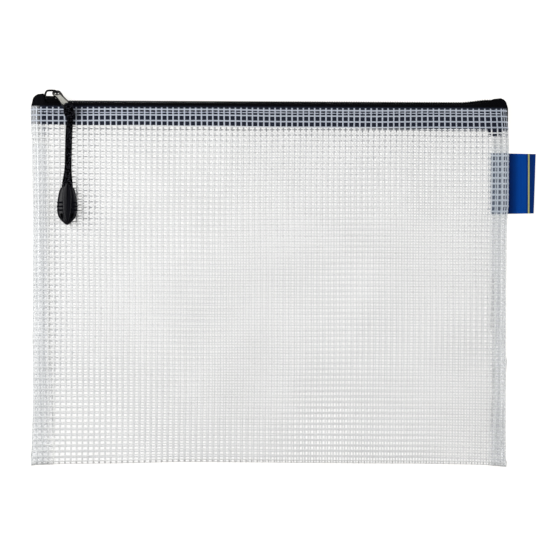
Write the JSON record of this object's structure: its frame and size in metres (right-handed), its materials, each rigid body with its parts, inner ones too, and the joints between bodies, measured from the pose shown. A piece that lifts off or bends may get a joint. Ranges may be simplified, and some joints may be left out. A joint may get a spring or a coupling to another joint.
{
  "type": "document wallet",
  "caption": "Landscape zip wallet of clear mesh film for papers, with a coil zip along its top, a corded slider pull and a folded ribbon label in one side seam.",
  "frame": {"origin": "middle of the back panel's outer face", "axes": "+X along the zip towards the label's side, +Y from the bottom edge to the zip, +Z out of the front panel"},
  "size_m": [0.2672, 0.1994, 0.0199],
  "materials": {
    "mesh_film": "clear film over a white square scrim",
    "zip_tape": "woven",
    "zip_coil": "nylon monofilament",
    "slider_metal": "black enamel",
    "tab_metal": "satin grey",
    "cord": "braided",
    "grip_plastic": "moulded soft plastic",
    "label_ribbon": "woven ribbon"
  },
  "bodies": {
    "pouch": {"front_panel": "mesh_film", "back_panel": "mesh_film", "front_zip_tape": "zip_tape", "back_zip_tape": "zip_tape", "front_coil": "zip_coil", "back_coil": "zip_coil", "side_label": "label_ribbon"},
    "slider": {"zip_slider": "slider_metal"},
    "tab": {"pull_tab": "tab_metal", "cord_hitch": "cord"},
    "pull": {"pull_cord": "cord", "pull_grip": "grip_plastic"}
  },
  "joints": [
    {"name": "zip_travel", "type": "slide", "parent": "pouch", "child": "slider", "axis": [1, 0, 0], "range_m": [0, 0.21], "deforming": ["front_coil", "back_coil"]},
    {"name": "tab_swing", "type": "hinge", "parent": "slider", "child": "tab", "pos_m": [-0.11305, 0.1022, 0.0054], "axis": [-1, 0, 0], "range_deg": [0, 80]},
    {"name": "pull_swing", "type": "hinge", "parent": "tab", "child": "pull", "pos_m": [-0.10585, 0.09143, 0.01449], "axis": [-1, 0, 0], "range_deg": [0, 85]}
  ]
}
